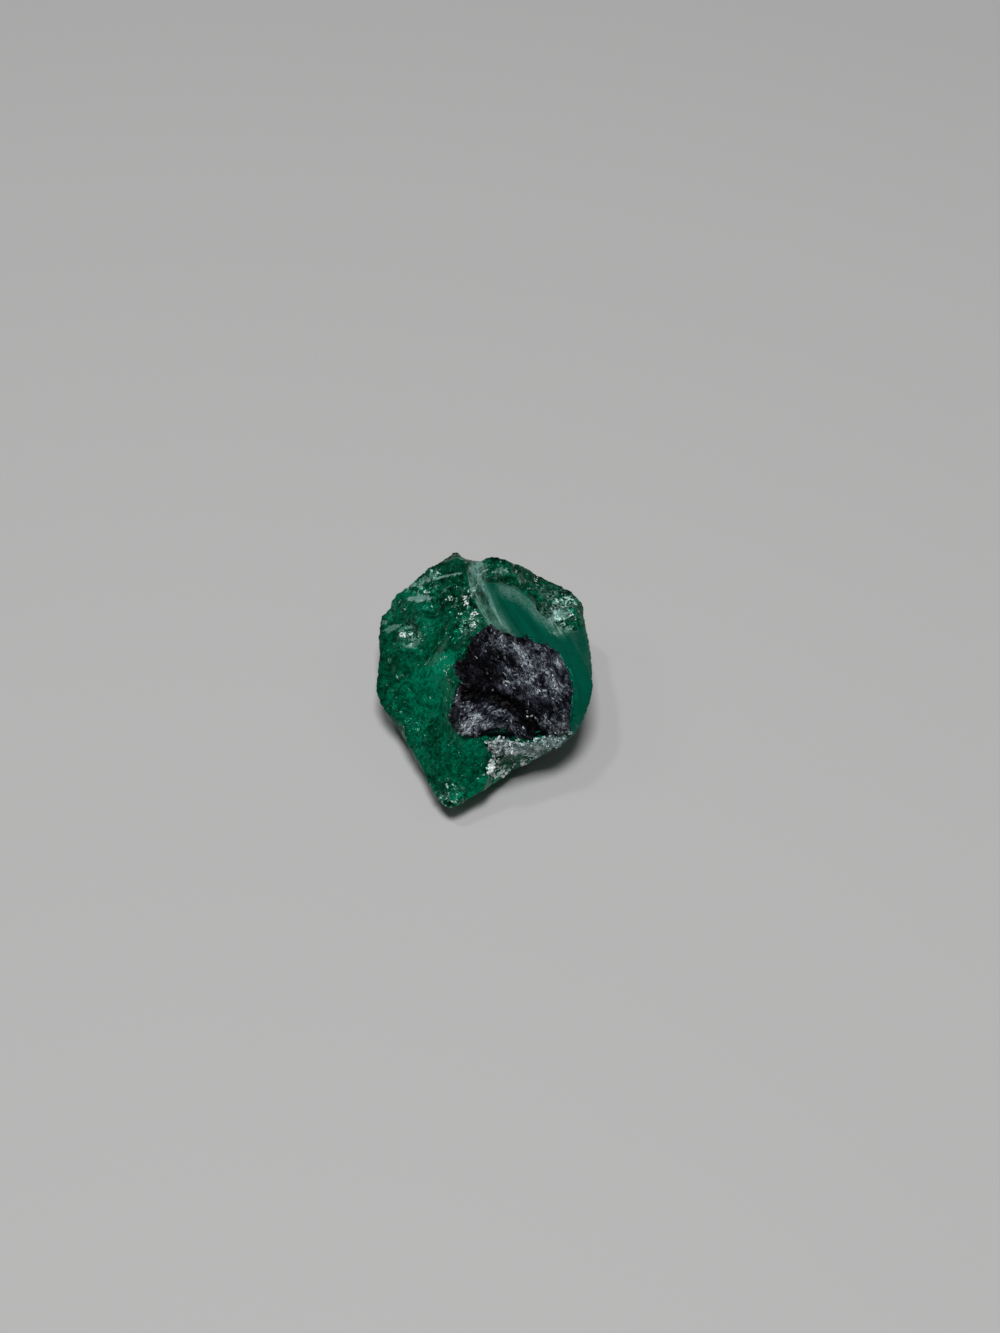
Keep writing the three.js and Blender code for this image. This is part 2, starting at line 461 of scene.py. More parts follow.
# Places on the stone's face, as (across, up) in mm
marks = {
    "ridge": [(-0.55, 6.2), (-0.4, 5.4), (-0.27, 4.87), (0.2, 3.88), (0.75, 2.95), (1.3, 2.1), (2.0, 0.9),
              (3.0, -1.2), (3.6, -4.5)],
    "wornEdge": [(0.4, 5.3), (1.15, 5.12), (1.75, 4.85), (2.6, 4.1), (3.5, 3.4), (4.5, 2.75)],
    "paleCrack": [(-4.05, 5.05), (-3.1, 5.37), (-2.4, 5.57), (-1.45, 5.75)],
    "darkLine": [(1.0, 4.1), (1.6, 3.4), (2.4, 2.5)],
    # Painted shadow lies along this gap between the mica and the crust
    "shadowGap": [(0.3, -3.0), (0.8, -2.97), (1.35, -3.12)],
    "greyBrim": [(3.6, -3.9), (4.3, -3.5), (5.0, -2.8)],
    "upperLeftBrim": [(-4.2, 4.9), (-2.9, 5.8), (-2.0, 6.3)],
    "lowerLeftBrim": [(-5.3, -1.2), (-4.4, -3.0), (-3.0, -5.6)],
    "lowerRightBrim": [(-1.3, -6.8), (0.3, -5.8), (2.4, -4.8)],
    "brokenEdge": [(0.4, -5.3), (1.2, -4.9), (2.7, -4.4)],
    "glow": (-2.2, 0.9),
    "tip": (-2.0, -6.4),
    "bubble": (-4.04, 2.33),
    "bubbleSize": 0.56,
    "outline": [
        (-5.6, 3.42), (-5.09, 3.88), (-5.02, 4.28), (-4.78, 4.62), (-4.12, 5.06), (-3.73, 5.44),
        (-3.02, 6.07), (-2.4, 6.38), (-1.93, 6.66), (-1.62, 6.89), (-1.43, 6.91), (-1.27, 6.77),
        (-1.0, 6.54), (-0.69, 6.48), (-0.22, 6.38), (0.09, 6.57), (0.49, 6.69), (0.87, 6.6), (1.58, 6.34),
        (2.12, 6.15), (2.9, 5.68), (3.68, 5.27), (4.23, 5.06), (4.77, 4.78), (5.08, 4.43), (5.32, 4.2),
        (5.44, 3.88), (5.48, 3.26), (5.73, 2.01), (5.85, 1.22), (5.91, 0.07), (5.94, -0.54), (5.79, -1.2),
        (5.67, -1.57), (5.42, -2.24), (5.06, -2.84), (4.58, -3.33), (4.03, -3.76), (3.42, -4.06),
        (2.75, -4.42), (2.15, -4.73), (1.48, -5.03), (1.05, -5.39), (0.73, -5.57), (0.16, -6.01),
        (-0.4, -6.33), (-1.11, -6.74), (-1.53, -6.99), (-1.89, -7.04), (-2.32, -6.79), (-2.67, -6.37),
        (-3.02, -5.72), (-3.37, -4.94), (-3.87, -4.16), (-4.23, -3.46), (-4.65, -2.75), (-5.14, -2.11),
        (-5.57, -1.47), (-5.86, -0.76), (-5.9, -0.34), (-5.78, 0.37), (-5.71, 1.35), (-5.75, 2.21),
        (-5.65, 3.0),
    ],
    "micaOutline": [
        (0.21, 2.95), (-0.4, 2.55), (-0.82, 2.0), (-1.37, 1.22), (-1.8, 0.8), (-1.74, 0.37), (-1.43, -0.17),
        (-1.61, -0.66), (-1.83, -1.39), (-1.98, -2.12), (-1.67, -2.78), (-1.25, -3.15), (-0.58, -3.3),
        (0.0, -3.15), (0.3, -2.85), (1.0, -2.75), (1.5, -3.1), (1.9, -3.3), (2.5, -3.4), (3.06, -3.3),
        (3.66, -3.2), (4.3, -3.15), (4.75, -2.9), (4.76, -1.94), (4.88, -1.15), (4.88, -0.17), (4.64, 0.61),
        (4.15, 1.46), (3.42, 1.95), (2.82, 2.05), (2.35, 2.45), (1.79, 2.35), (1.24, 2.5), (0.81, 2.7),
        (0.45, 3.0),
    ],
    "crustOutline": [
        (0.09, -3.9), (0.17, -3.36), (0.51, -3.25), (0.99, -3.2), (1.48, -3.3), (1.84, -3.35), (2.45, -3.42),
        (3.06, -3.25), (3.54, -3.1), (4.15, -3.05), (4.7, -2.85), (4.76, -3.15), (4.15, -3.7), (3.54, -4.0),
        (3.06, -4.25), (2.75, -4.4), (2.21, -4.24), (1.48, -4.2), (0.87, -4.2), (0.45, -4.1),
    ],
}

crystal = {
    "cell": 0.083,           # mm, the size of the skin's quads
    "fracture": {"count": 46, "widths": (1.0, 3.4), "deepness": 0.04, "tilt": 0.06, "ripple": 0.05},
    "splintered": {"count": 260, "widths": (0.25, 0.95), "deepness": 0.15, "tilt": 0.35},
    "brim": {"count": 200, "widths": (0.2, 0.6), "deepness": 0.12, "tilt": 0.3},
    "underside": {"count": 150, "widths": (0.8, 3.0), "deepness": 0.07, "tilt": 0.12, "ripple": 0.03},
    "brimHold": 0.15,        # the share of a chip that is taken at the outline
    "relief": 0.03,          # mm
    "serration": 0.05,       # mm that the outline wanders
    "swell": 0.09,           # mm that the skin takes in round the mica and the crust
    # Dips under them: how deep inside their outline each starts and is full, and how much it dips, in mm
    "underMica": ((0.0, 0.35, 0.35), (0.3, 0.9, 0.5)),
    "underCrust": ((0.0, 0.3, 0.25),),
    # The most splintered places, as (across, up) and reach in mm
    "rowdy": [(marks["bubble"], 1.1), ((-1.0, 4.6), 1.6), ((-3.2, 5.0), 1.6), ((-0.8, 3.0), 1.2),
              ((1.0, -5.0), 1.0), (marks["tip"], 1.6)],
    # Round spots, as (across, up), reach in mm and strength
    "patchyFrost": [((0.7, 5.9), 0.8, 0.3), (marks["bubble"], 0.8, 0.3), (marks["tip"], 1.1, 0.1)],
    # Spots of painted glints where the stone sparkles
    "sparkle": [(marks["tip"], 1.3, 0.18), (marks["bubble"], 0.8, 0.3), (marks["glow"], 0.7, 0.14),
                ((4.3, 4.0), 1.3, 0.3), ((4.0, 3.0), 0.9, 0.12), ((-0.9, 3.0), 0.9, 0.25),
                ((-3.4, 5.2), 1.3, 0.12), ((-2.6, 5.8), 0.6, 0.15), ((-1.4, 4.4), 1.2, 0.1)],
    "web": [(marks["tip"], 1.2, 0.35), (marks["bubble"], 0.7, 0.5), ((4.1, 4.1), 1.4, 0.9),
            ((-0.9, 3.1), 0.9, 0.5), ((-4.6, 3.6), 1.2, 0.25)],
    # Painted glow: brighter where light shines through the stone, darker in a few spots
    "glow": [(marks["glow"], 0.9, 0.7), (marks["glow"], 0.4, 0.4), (marks["tip"], 1.3, -0.3),
             ((-2.6, -1.5), 3.0, 0.25), ((-3.0, 0.7), 1.2, 0.15), ((-4.6, -1.6), 1.4, 0.1),
             ((-1.5, -4.5), 2.0, 0.2), ((-4.0, 0.5), 1.5, 0.1), ((-1.5, 6.1), 1.5, -0.45),
             ((-1.1, 3.6), 1.1, -0.3), ((-2.4, -2.4), 1.3, -0.3), ((-1.0, 4.6), 1.3, -0.3)],
    # Lines, as a mark's name, where it starts to fade and ends in mm, and strength
    # Pale frost along the brims; along the lower left brim it is a painted highlight where the edge catches
    # the light
    "frostLines": [("greyBrim", 0.2, 0.5, 0.55), ("upperLeftBrim", 0.2, 0.6, 0.4),
                   ("lowerLeftBrim", 0.3, 0.9, 0.28)],
    # Painted glow: light painted on the underside along the lower right brim, less along the dark line
    "glowLines": [("darkLine", 0.1, 0.3, -0.3), ("lowerRightBrim", 0.3, 0.9, 0.45)],
    # Pale healed cracks and leaves: across, up, half length, half width, degrees, strength
    "leaves": [
        (-3.5, 4.4, 0.72, 0.22, 4, 1.05), (-4.43, 3.73, 0.3, 0.12, 10, 0.9),
        (-5.0, 2.78, 0.62, 0.17, 24, 0.8), (-5.4, 3.1, 0.24, 0.12, 20, 0.85),
        (-2.05, 4.93, 0.42, 0.08, 42, 0.7), (-4.6, 4.3, 0.2, 0.07, 40, 0.7),
        (0.9, 5.95, 0.6, 0.1, 14, 0.7), (-2.65, 5.83, 0.3, 0.16, 50, 0.6), (-5.2, 1.0, 0.3, 0.1, 80, 0.6),
        (4.9, 4.3, 0.5, 0.1, -60, 0.7), (5.25, 3.4, 0.5, 0.12, -75, 0.6), (-4.55, 0.1, 0.4, 0.12, 30, 0.6),
    ],
    "patternSizes": {        # mm
        "speckle": 0.11, "blotch": 0.36, "cloud": 1.6, "wisps": 0.6, "veins": 0.24, "facets": 0.2,
        "powder": 0.05, "glitter": 0.3, "scratches": 0.09, "bands": 0.6, "web": 0.28, "scratchNet": 0.18,
    },
    "absorbColour": (0.0, 0.82, 0.52),
    "absorbDensity": 900.0,
    "clearTint": (0.08, 0.95, 0.65),
    "ior": 1.58,
    "gloss": 0.16,           # specular level
    "glossTint": (0.06, 0.7, 0.5),
    "deepGreen": (0.0, 0.008, 0.002),
    "midGreen": (0.0003, 0.055, 0.025),
    "brightGreen": (0.0004, 0.165, 0.082),
    "glowGreen": (0.0005, 0.28, 0.145),
    "deepTeal": (0.0003, 0.075, 0.045),
    "paleTeal": (0.001, 0.135, 0.088),
    "frostTone": (0.2, 0.38, 0.33),
    "wornTone": (0.22, 0.31, 0.25),
    "sparkTone": (0.6, 0.9, 0.82),
    # Near-black, for a stain along the mica and painted shadow in the gap under it
    "stainAndShadowTone": (0.004, 0.009, 0.009),
}

# Where fine scratches run side by side along the ridge: mm beside it, and how pale
ridgeProfile = [(-0.5, 0.0), (-0.42, 0.9), (-0.28, 1.0), (-0.18, 0.5), (0.05, 0.55), (0.14, 1.0), (0.3, 1.0),
                (0.38, 0.5), (0.55, 0.12), (0.8, 0.0)]

# How pale the worn band is, by mm past its edge
wornProfile = [(-0.8, 0.0), (-0.6, 0.15), (-0.35, 0.45), (-0.05, 0.55), (0.05, 0.2), (0.25, 0.0)]


# Clouded green over a clear share, with scratches, cracks, frost and sparks painted as glints where painted
def emeraldFinish():
    f = Finish("emerald")
    size = crystal["patternSizes"]
    spot = f.place()
    milk, glow, rough, stain, scored, worn = [
        f.painted(name) for name in ("milk", "glow", "rough", "stain", "scored", "worn")]
    frost, cracked, bubble, spark, web = [
        f.painted(name) for name in ("frost", "cracked", "bubble", "spark", "web")]
    speckle = f.grain(spot, size["speckle"], 4.0, 0.7)
    blotch = f.grain(spot, size["blotch"], 4.0, 0.7, 0.5)
    cloud = f.grain(spot, size["cloud"], 4.0, 0.6, 0.8)
    wisps = f.threads(spot, size["wisps"], 8.0, 1.5)
    veins = f.threads(spot, size["veins"], 6.0, 1.2)
    powder = f.grain(spot, size["powder"], 3.0, 0.7)
    glitter = f.grain(spot, size["glitter"], 2.5, 0.6, 1.6)
    scratches = f.grain(f.paintedPlace("alongRidge"), size["scratches"], 4.0, 0.7)
    bands = f.grain(f.paintedPlace("alongRidge"), size["bands"], 4.0, 0.7)
    cellSpot = f.add("VectorMath", {"operation": "MULTIPLY_ADD"}, {
        0: f.add("TexNoise", sockets={"Vector": spot, "Scale": 1 / (0.4 * mm)}, output="Color"),
        1: (0.15 * mm, 0.15 * mm, 0.15 * mm), 2: spot})
    facet = f.cells(cellSpot, size["facets"])

    # The smooth face is milky teal in bands, and the rest a mottled green that deepens from place to place
    clouds = (cloud - 0.5) * 1.3 + (speckle - 0.5) * 0.5 + (facet - 0.5) * 0.4 * (rough + 0.3)
    mottle = (blotch - 0.5) * 1.3 + wisps * 0.4 + (veins - 0.68) * 0.2
    # The painted glow brightens the green where light shines through the stone
    green = f.ramp(f.clamped(0.42 + clouds + mottle * (1 - milk) + glow * 0.45),
                   (0.0, crystal["deepGreen"]), (0.42, crystal["midGreen"]),
                   (0.8, crystal["brightGreen"]), (1.0, crystal["glowGreen"]))
    teal = f.ramp(bands, (0.3, crystal["deepTeal"]), (0.7, crystal["paleTeal"]))
    green = f.blend(milk * 0.85, green, teal)

    # Pale shares: the scratched ridge, the worn band, the crack, the round fracture, frost and fine webs
    lines = f.clamped((scratches - 0.42) * 6) * 0.7 + f.net(cellSpot, size["scratchNet"], 0.03) * 0.3 + 0.12
    scoredShare = f.profile(f.painted("besideRidge"), ridgeProfile) * lines * scored
    scoredShare = scoredShare * f.clamped(powder * 4 - 1)
    wornEdge = f.painted("pastWorn") + (blotch - 0.5) * 0.35 + (speckle - 0.5) * 0.3
    grit = f.clamped((speckle - 0.33) * 3.5) * f.clamped(scratches * 3 - 0.8) * 1.6
    wornShare = f.profile(wornEdge, wornProfile) * worn * grit
    crackShare = f.clamped(1.5 - abs(f.painted("besideCrack") + (blotch - 0.5) * 0.25) * 14) * cracked * 1.6
    bubbleShare = f.clamped(1.2 - abs(f.painted("besideBubble") + (blotch - 0.5) * 0.5) * 9) * bubble
    broken = f.clamped((blotch - 0.4) * 5) * f.clamped(powder * 3 - 0.7)
    mottled = f.clamped((frost * 1.5 + (speckle + scratches - 1) * 1.8 + (powder - 0.5) - 0.6) * 1.8) * frost
    webShare = f.net(cellSpot, size["web"], 0.035) * web * 0.8
    frostShare = f.clamped(scoredShare + wornShare + (crackShare + bubbleShare) * broken + mottled + webShare)
    # Painted glints: near-white sparks where small breaks catch the light
    sparkShare = f.clamped((glitter + spark * 0.55 + (facet - 0.5) * 0.3 - 0.76) * 9) * (1 - milk)
    # A dark stain along the mica's border, and painted shadow in the gap between the mica and the crust
    stainAndShadowShare = f.clamped((stain + (speckle - 0.5) * 2.0) * stain * 2)

    tone = f.blend(frostShare, green, f.blend(wornShare, crystal["frostTone"], crystal["wornTone"]))
    tone = f.blend(stainAndShadowShare, tone, crystal["stainAndShadowTone"])
    tone = f.blend(sparkShare, tone, crystal["sparkTone"])
    solidShare = f.clamped(frostShare + stainAndShadowShare + sparkShare + 0.64 + milk * 0.2 + rough * 0.2)
    height = (speckle + facet * 0.6) * rough
    bump = f.add("Bump", sockets={"Strength": 0.5, "Distance": 0.03 * mm, "Height": height})
    surface = {"IOR": crystal["ior"], "Specular IOR Level": crystal["gloss"],
               "Specular Tint": crystal["glossTint"], "Normal": bump}
    clear = f.add("BsdfPrincipled", sockets=surface | {
        "Base Color": crystal["clearTint"], "Roughness": f.clamped(0.04 + rough * 0.15 + milk * 0.1),
        "Transmission Weight": 1.0})
    cloudy = f.add("BsdfPrincipled", sockets=surface | {
        "Base Color": tone, "Roughness": f.clamped(0.2 + frostShare * 0.4 + rough * 0.1)})
    body = f.add("VolumeAbsorption", sockets={
        "Color": crystal["absorbColour"], "Density": crystal["absorbDensity"]})
    return f.finish(Surface=f.add("MixShader", sockets={0: solidShare, 1: clear, 2: cloudy}), Volume=body)


# Which part of the face each point belongs to, as shares from 0 to 1
def zonesOf(points, normals):
    flat = acrossAndUp(points)
    front = fade(normals @ towardEye, 0.0, 0.3)
    right = fade(besideLine(flat, marks["ridge"]), 0.0, 0.15)
    pastWorn = flat[:, 1] - np.interp(flat[:, 0], *zip(*marks["wornEdge"]))
    beyond = fade(pastWorn, 0.0, 0.2)
    return {
        "flat": flat,
        "front": front,
        "pastWorn": pastWorn,
        "fracture": front * (1 - right),
        "splintered": front * right * beyond,
        "smooth": front * right * (1 - beyond),
        "underside": (1 - front) * fade(points[:, 2], 0.02, 0.3),
    }


# The distance from each point to the nearest of the chosen ones
def nearestOf(points, chosen):
    tree = KDTree(len(chosen))
    for i, place in enumerate(chosen):
        tree.insert(Vector(place), i)
    tree.balance()
    return np.array([tree.find(Vector(p))[2] for p in points])


# Draws the points near the outline out or in, level with the floor, until the eye sees the marked outline
def fitOutline(points):
    flat = acrossAndUp(points)
    turn, reach = np.arctan2(flat[:, 1], flat[:, 0]), np.linalg.norm(flat, axis=1)
    steps = 360
    farthest = np.zeros(steps)
    np.maximum.at(farthest, ((turn / (2 * math.pi) + 0.5) * steps).astype(int) % steps, reach)
    bearings = (np.arange(steps) + 0.5) * 2 * math.pi / steps - math.pi
    now = np.interp(turn, bearings, farthest, period=2 * math.pi)
    corners = np.array(marks["outline"])
    share = np.linspace(0, 1, 20, endpoint=False)[:, None, None]
    line = (corners * (1 - share) + np.roll(corners, -1, axis=0) * share).reshape(-1, 2)
    line *= 1 + crystal["serration"] / 7 * fractal(flat3(line), 0.2, 4, seed=8)[:, None]
    lineTurn, lineReach = np.arctan2(line[:, 1], line[:, 0]), np.linalg.norm(line, axis=1)
    wanted = np.interp(turn, lineTurn, lineReach, period=2 * math.pi)
    shift = flat * ((wanted / now - 1) * fade(reach / now, 0.55, 1.0))[:, None]
    nearness = lie["sheetDistance"] / -((points - eye) @ towardEye)
    points[:, 0] += shift[:, 0] / nearness
    points[:, 1] += shift[:, 1] / nearness / math.sin(lookDown)


# Sinks the crystal under the middle of another growth
def sinkUnder(points, outline, dips):
    deep = insideBy(acrossAndUp(points), outline)
    sight = unit(points - eye)
    front = points @ towardEye > 0.5
    for start, end, dip in dips:
        points[front] += sight[front] * (dip * fade(deep[front], start, end))[:, None]


# Chips flake off every face. They are shallow at the outline, and there are none under the other growths.
def chipped(points, quads, zone, normals, rowdy):
    skin = points.copy()
    facing = unit(smoothed(normals, quads, 5)) @ towardEye
    takeChips(points, quads, zone["underside"] > 0.5, crystal["underside"])
    takeChips(points, quads, zone["fracture"] > 0.5, crystal["fracture"])
    takeChips(points, quads, (rowdy > 0.5) & (facing > 0.3), crystal["splintered"])
    takeChips(points, quads, (np.abs(facing) < 0.35) & (points[:, 2] > 0.3), crystal["brim"])
    toBrim = nearestOf(skin, skin[(np.abs(facing) < 0.15) & (skin[:, 2] > 0.15)])
    roomy = np.minimum(distanceTo(patchTree, skin), distanceTo(crustTree, skin))
    atBrim = crystal["brimHold"]
    hold = fade(roomy, 0.15, 0.6) * (atBrim + (1 - atBrim) * fade(toBrim, 0.15, 1.0))
    hold = smoothed(hold * (1 - 0.85 * zone["smooth"]), quads, 4)
    return skin + (points - skin) * hold[:, None]


def makeCrystal():
    swollen = {"emerald_crystal": 0, "mica_patch": crystal["swell"], "pale_crust": crystal["swell"]}
    points, quads = evenSkin(swollen, crystal["cell"])
    print("crystal triangles", len(quads) * 2)
    for i, point in enumerate(points):
        found = [tree.find_nearest(Vector(point)) for tree in (crystalTree, patchTree, crustTree)]
        points[i] = min(found, key=lambda spot: spot[3])[0]
    normals = unit(smoothed(pointNormals(points, quads), quads, 3))
    zone = zonesOf(points, normals)
    rowdy = np.maximum.reduce([near(zone["flat"], spot, reach) for spot, reach in crystal["rowdy"]]
                              + [0.9 * zone["splintered"]])
    points = chipped(points, quads, zone, normals, rowdy)
    relief = fractal(points, 0.9, 5) * crystal["relief"] * (1 - 0.8 * zone["smooth"])
    points += pointNormals(points, quads) * relief[:, None]
    fitOutline(points)
    wholeTree = searchTree(points, quads)
    sinkUnder(points, marks["micaOutline"], crystal["underMica"])
    sinkUnder(points, marks["crustOutline"], crystal["underCrust"])
    points[:, 2] = np.maximum(points[:, 2], 0)
    piece = buildPiece("broken_crystal", points, quads, emeraldFinish(), sharpOver=30)
    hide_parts("emerald_crystal")
    paintCrystal(piece, points, quads, zone, rowdy)
    return points, quads, wholeTree


# Pale leaves, each thin and brightest along its rim, laid over the frost
def addLeaves(frost, flat):
    for across, up, long, wide, turn, strength in crystal["leaves"]:
        c, s = math.cos(math.radians(turn)), math.sin(math.radians(turn))
        away = flat - (across, up)
        along, aside = away[:, 0] * c + away[:, 1] * s, away[:, 1] * c - away[:, 0] * s
        lens = 1 - np.abs(aside) / wide - (along / long) ** 2
        rim = np.exp(-(lens / 0.3) ** 2)
        frost = np.maximum(frost, strength * np.clip(lens * 4, 0, 1) * (0.75 + 0.5 * rim))
    return frost


# What the finish reads at each point. "even" runs true and "flat" wanders, so that no edge looks ruled.
def paintCrystal(piece, points, quads, zone, rowdy):
    even, front = acrossAndUp(points), zone["front"]
    flat = even + 0.1 * np.column_stack([fractal(points, 0.3, 4, seed=5), fractal(points, 0.3, 4, seed=6)])
    patches = fractal(flat3(flat), 0.5, 4, seed=3)
    patchy = fade(patches, -0.3, 0.4)
    edges = fade(standOut(points, quads, 4), 0.012, 0.045)
    frost = 0.75 * near(flat, (4.1, 2.95), 1.05) * (0.5 + 0.5 * patchy) + 0.6 * near(flat, (-0.35, 6.0), 0.85)
    frost += (spotted(flat, crystal["patchyFrost"]) + lined(flat, crystal["frostLines"])) * patchy
    frost += edges * (0.15 + 0.5 * rowdy) + 0.25 * rowdy * fade(patches, 0.0, 0.5)
    paintPoints(piece, "frost", np.clip(addLeaves(frost, flat) * front, 0, 1))

    besideRidge = besideLine(even, marks["ridge"])
    paintPoints(piece, "besideRidge", besideRidge)
    paintPlaces(piece, "alongRidge", np.column_stack([besideRidge, even[:, 1] / 9, points[:, 2] / 9]))
    scored = nearLine(even, marks["ridge"], 0.9, 1.1) * (1 - fade(flat[:, 1], 5.4, 6.2))
    paintPoints(piece, "scored", scored * fade(flat[:, 1], 1.0, 2.0) * front)
    paintPoints(piece, "pastWorn", zone["pastWorn"])
    paintPoints(piece, "worn", fade(flat[:, 0], 0.5, 1.1) * (1 - fade(flat[:, 0], 4.0, 4.6)) * front)
    paintPoints(piece, "besideCrack", besideLine(flat, marks["paleCrack"]))
    paintPoints(piece, "cracked", nearLine(flat, marks["paleCrack"], 0.2, 0.3) * front)
    fromBubble = np.linalg.norm(flat - np.array(marks["bubble"]), axis=1)
    paintPoints(piece, "besideBubble", fromBubble - marks["bubbleSize"])
    paintPoints(piece, "bubble", near(flat, marks["bubble"], 1.2) * front)

    # Painted glints where the stone sparkles
    spark = spotted(flat, crystal["sparkle"]) + 0.12 * nearLine(flat, marks["brokenEdge"], 0.25, 0.6)
    paintPoints(piece, "spark", spark * front * (1 - zone["smooth"]))
    paintPoints(piece, "web", np.clip(spotted(flat, crystal["web"]) * patchy * front, 0, 1))
    # A patchy dark stain along the mica's border
    stain = 0.5 * (1 - fade(distanceTo(patchTree, points, 1.0), 0.0, 0.3)) * fade(patches, -0.5, 0.5)
    # Painted shadow in the gap between the mica and the crust
    stain += nearLine(flat, marks["shadowGap"], 0.1, 0.25) * front
    paintPoints(piece, "stain", np.clip(stain, 0, 1))
    paintPoints(piece, "milk", zone["smooth"])
    # Painted glow of light shining through the stone, less on the splintered face
    glow = spotted(flat, crystal["glow"]) + lined(flat, crystal["glowLines"]) - 0.45 * zone["splintered"]
    paintPoints(piece, "glow", np.clip(glow * front, -0.5, 1.5))
    paintPoints(piece, "rough", np.clip(0.2 + 0.6 * zone["underside"] + 0.6 * rowdy, 0, 1))


crystalPoints, crystalQuads, wholeTree = makeCrystal()
print("crystal made")


# How many times a line straight up from a point goes through a surface
def crossings(tree, point):
    count, start = 0, Vector(point)
    hit = tree.ray_cast(start, Vector((0, 0, 1)))[0]
    while hit is not None:
        count += 1
        hit = tree.ray_cast(hit + Vector((0, 0, 1e-4)), Vector((0, 0, 1)))[0]
    return count


veils = {
    "depth": 0.12,           # mm, the least that lies over a flake
    "fromOthers": 0.15,      # mm, the least from the mica and the crust
    "count": 5000,
    "sheets": 14,
    "spread": 1.5,           # mm
    "sizes": (0.06, 0.3),    # mm
    "slimness": 0.6,
    "thickness": 0.012,      # mm
    "tilt": 0.35,
    "deepTone": (0.05, 0.35, 0.22),
    "paleTone": (0.45, 0.95, 0.7),
}


def veilFinish():
    f = Finish("veil")
    tone = f.ramp(f.painted("shade"), (0.0, veils["deepTone"]), (1.0, veils["paleTone"]))
    return f.finish(Surface=f.add("BsdfPrincipled", sockets={"Base Color": tone, "Roughness": 0.5}))


# Clouds of tiny flakes inside the crystal, most of them in wavy sheets
def makeVeils():
    tree = searchTree(crystalPoints, crystalQuads)
    low, high = crystalPoints.min(0), crystalPoints.max(0)
    share = veils["count"] // veils["sheets"]
    places, facings = [], []
    for _ in range(veils["sheets"]):
        centre = random.uniform(low + veils["spread"], high - veils["spread"])
        outward = unit(random.normal(0, 1, 3))
        along = anyAcross(outward)
        other = np.cross(outward, along)
        spread = random.normal(0, veils["spread"], (share, 2))
        waves = np.sin(spread[:, 0] * 2.1) * 0.25 + np.sin(spread[:, 1] * 3.3) * 0.15
        places.append(centre + spread[:, :1] * along + spread[:, 1:] * other
                      + outward * (waves + random.normal(0, 0.06, share))[:, None])
        facings.append(np.tile(outward, (share, 1)))
    places, facings = np.concatenate(places), np.concatenate(facings)
    inside = distanceTo(tree, places) > veils["depth"]
    inside &= np.array([crossings(tree, place) % 2 == 1 for place in places])
    inside &= np.minimum(distanceTo(patchTree, places), distanceTo(crustTree, places)) > veils["fromOthers"]
    places, facings = places[inside], facings[inside]
    low, high = veils["sizes"]
    length = low * (high / low) ** random.random(len(places))
    sizes = np.stack([length, length * veils["slimness"], np.full(len(places), veils["thickness"])], axis=1)
    tilted = facings + random.normal(0, veils["tilt"], facings.shape)
    points, faces = splinters(places, tilted, anyAcross(facings), sizes)
    piece = buildPiece("inner_veils", points, faces, veilFinish())
    paintPoints(piece, "shade", np.repeat(random.random(len(places)), 6))


makeVeils()
print("veils made")


# A closed ragged sheet over part of the stone: its top is lifted off the stone's surface by what heightOf
# gives for each (across, up) and its depth inside the outline
def layOver(growth, outline, heightOf):
    cell, outline = growth["cell"], np.asarray(outline, float)
    low, high = outline.min(0) - 0.3, outline.max(0) + 0.3
    columns, rows = ((high - low) / cell).astype(int)
    flat = np.stack(np.meshgrid(low[0] + np.arange(columns) * cell, low[1] + np.arange(rows) * cell), -1)
    flat = flat.reshape(-1, 2)
    inside = insideBy(flat, outline) + growth["ragged"] * fractal(flat3(flat), 0.3, 4, seed=41)
    sight = sightLines(flat)
    depth = np.zeros(len(flat))
    for i in np.flatnonzero(inside > 0):
        depth[i] = wholeTree.ray_cast(Vector(eye), Vector(sight[i]))[3] or 0
    kept = depth > 0
    first = np.arange(len(flat)).reshape(rows, columns)[:-1, :-1].ravel()
    quads = np.column_stack([first, first + 1, first + 1 + columns, first + columns])
    quads = quads[kept[quads].all(1)]
    used, quads = np.unique(quads, return_inverse=True)
    quads = quads.reshape(-1, 4)
    flat, inside, sight, depth = flat[used], inside[used], sight[used], depth[used]
    sides = np.concatenate([quads[:, [i, (i + 1) % 4]] for i in range(4)])
    count = len(used)
    codes = sides[:, 0] * count + sides[:, 1]
    rim = sides[~np.isin(codes, sides[:, 1] * count + sides[:, 0])]
    inner = ~np.isin(np.arange(count), rim)
    for _ in range(growth["calming"]):
        depth[inner] = smoothed(depth, quads, 1)[inner]
    top = eye + sight * (depth - heightOf(flat, inside))[:, None]
    bottom = eye + sight * (depth + growth["thickness"])[:, None]
    walls = np.column_stack([rim[:, 1], rim[:, 0], rim[:, 0] + count, rim[:, 1] + count])
    faces = np.concatenate([quads, quads[:, ::-1] + count, walls])
    return np.concatenate([top, bottom]), faces, flat, inside


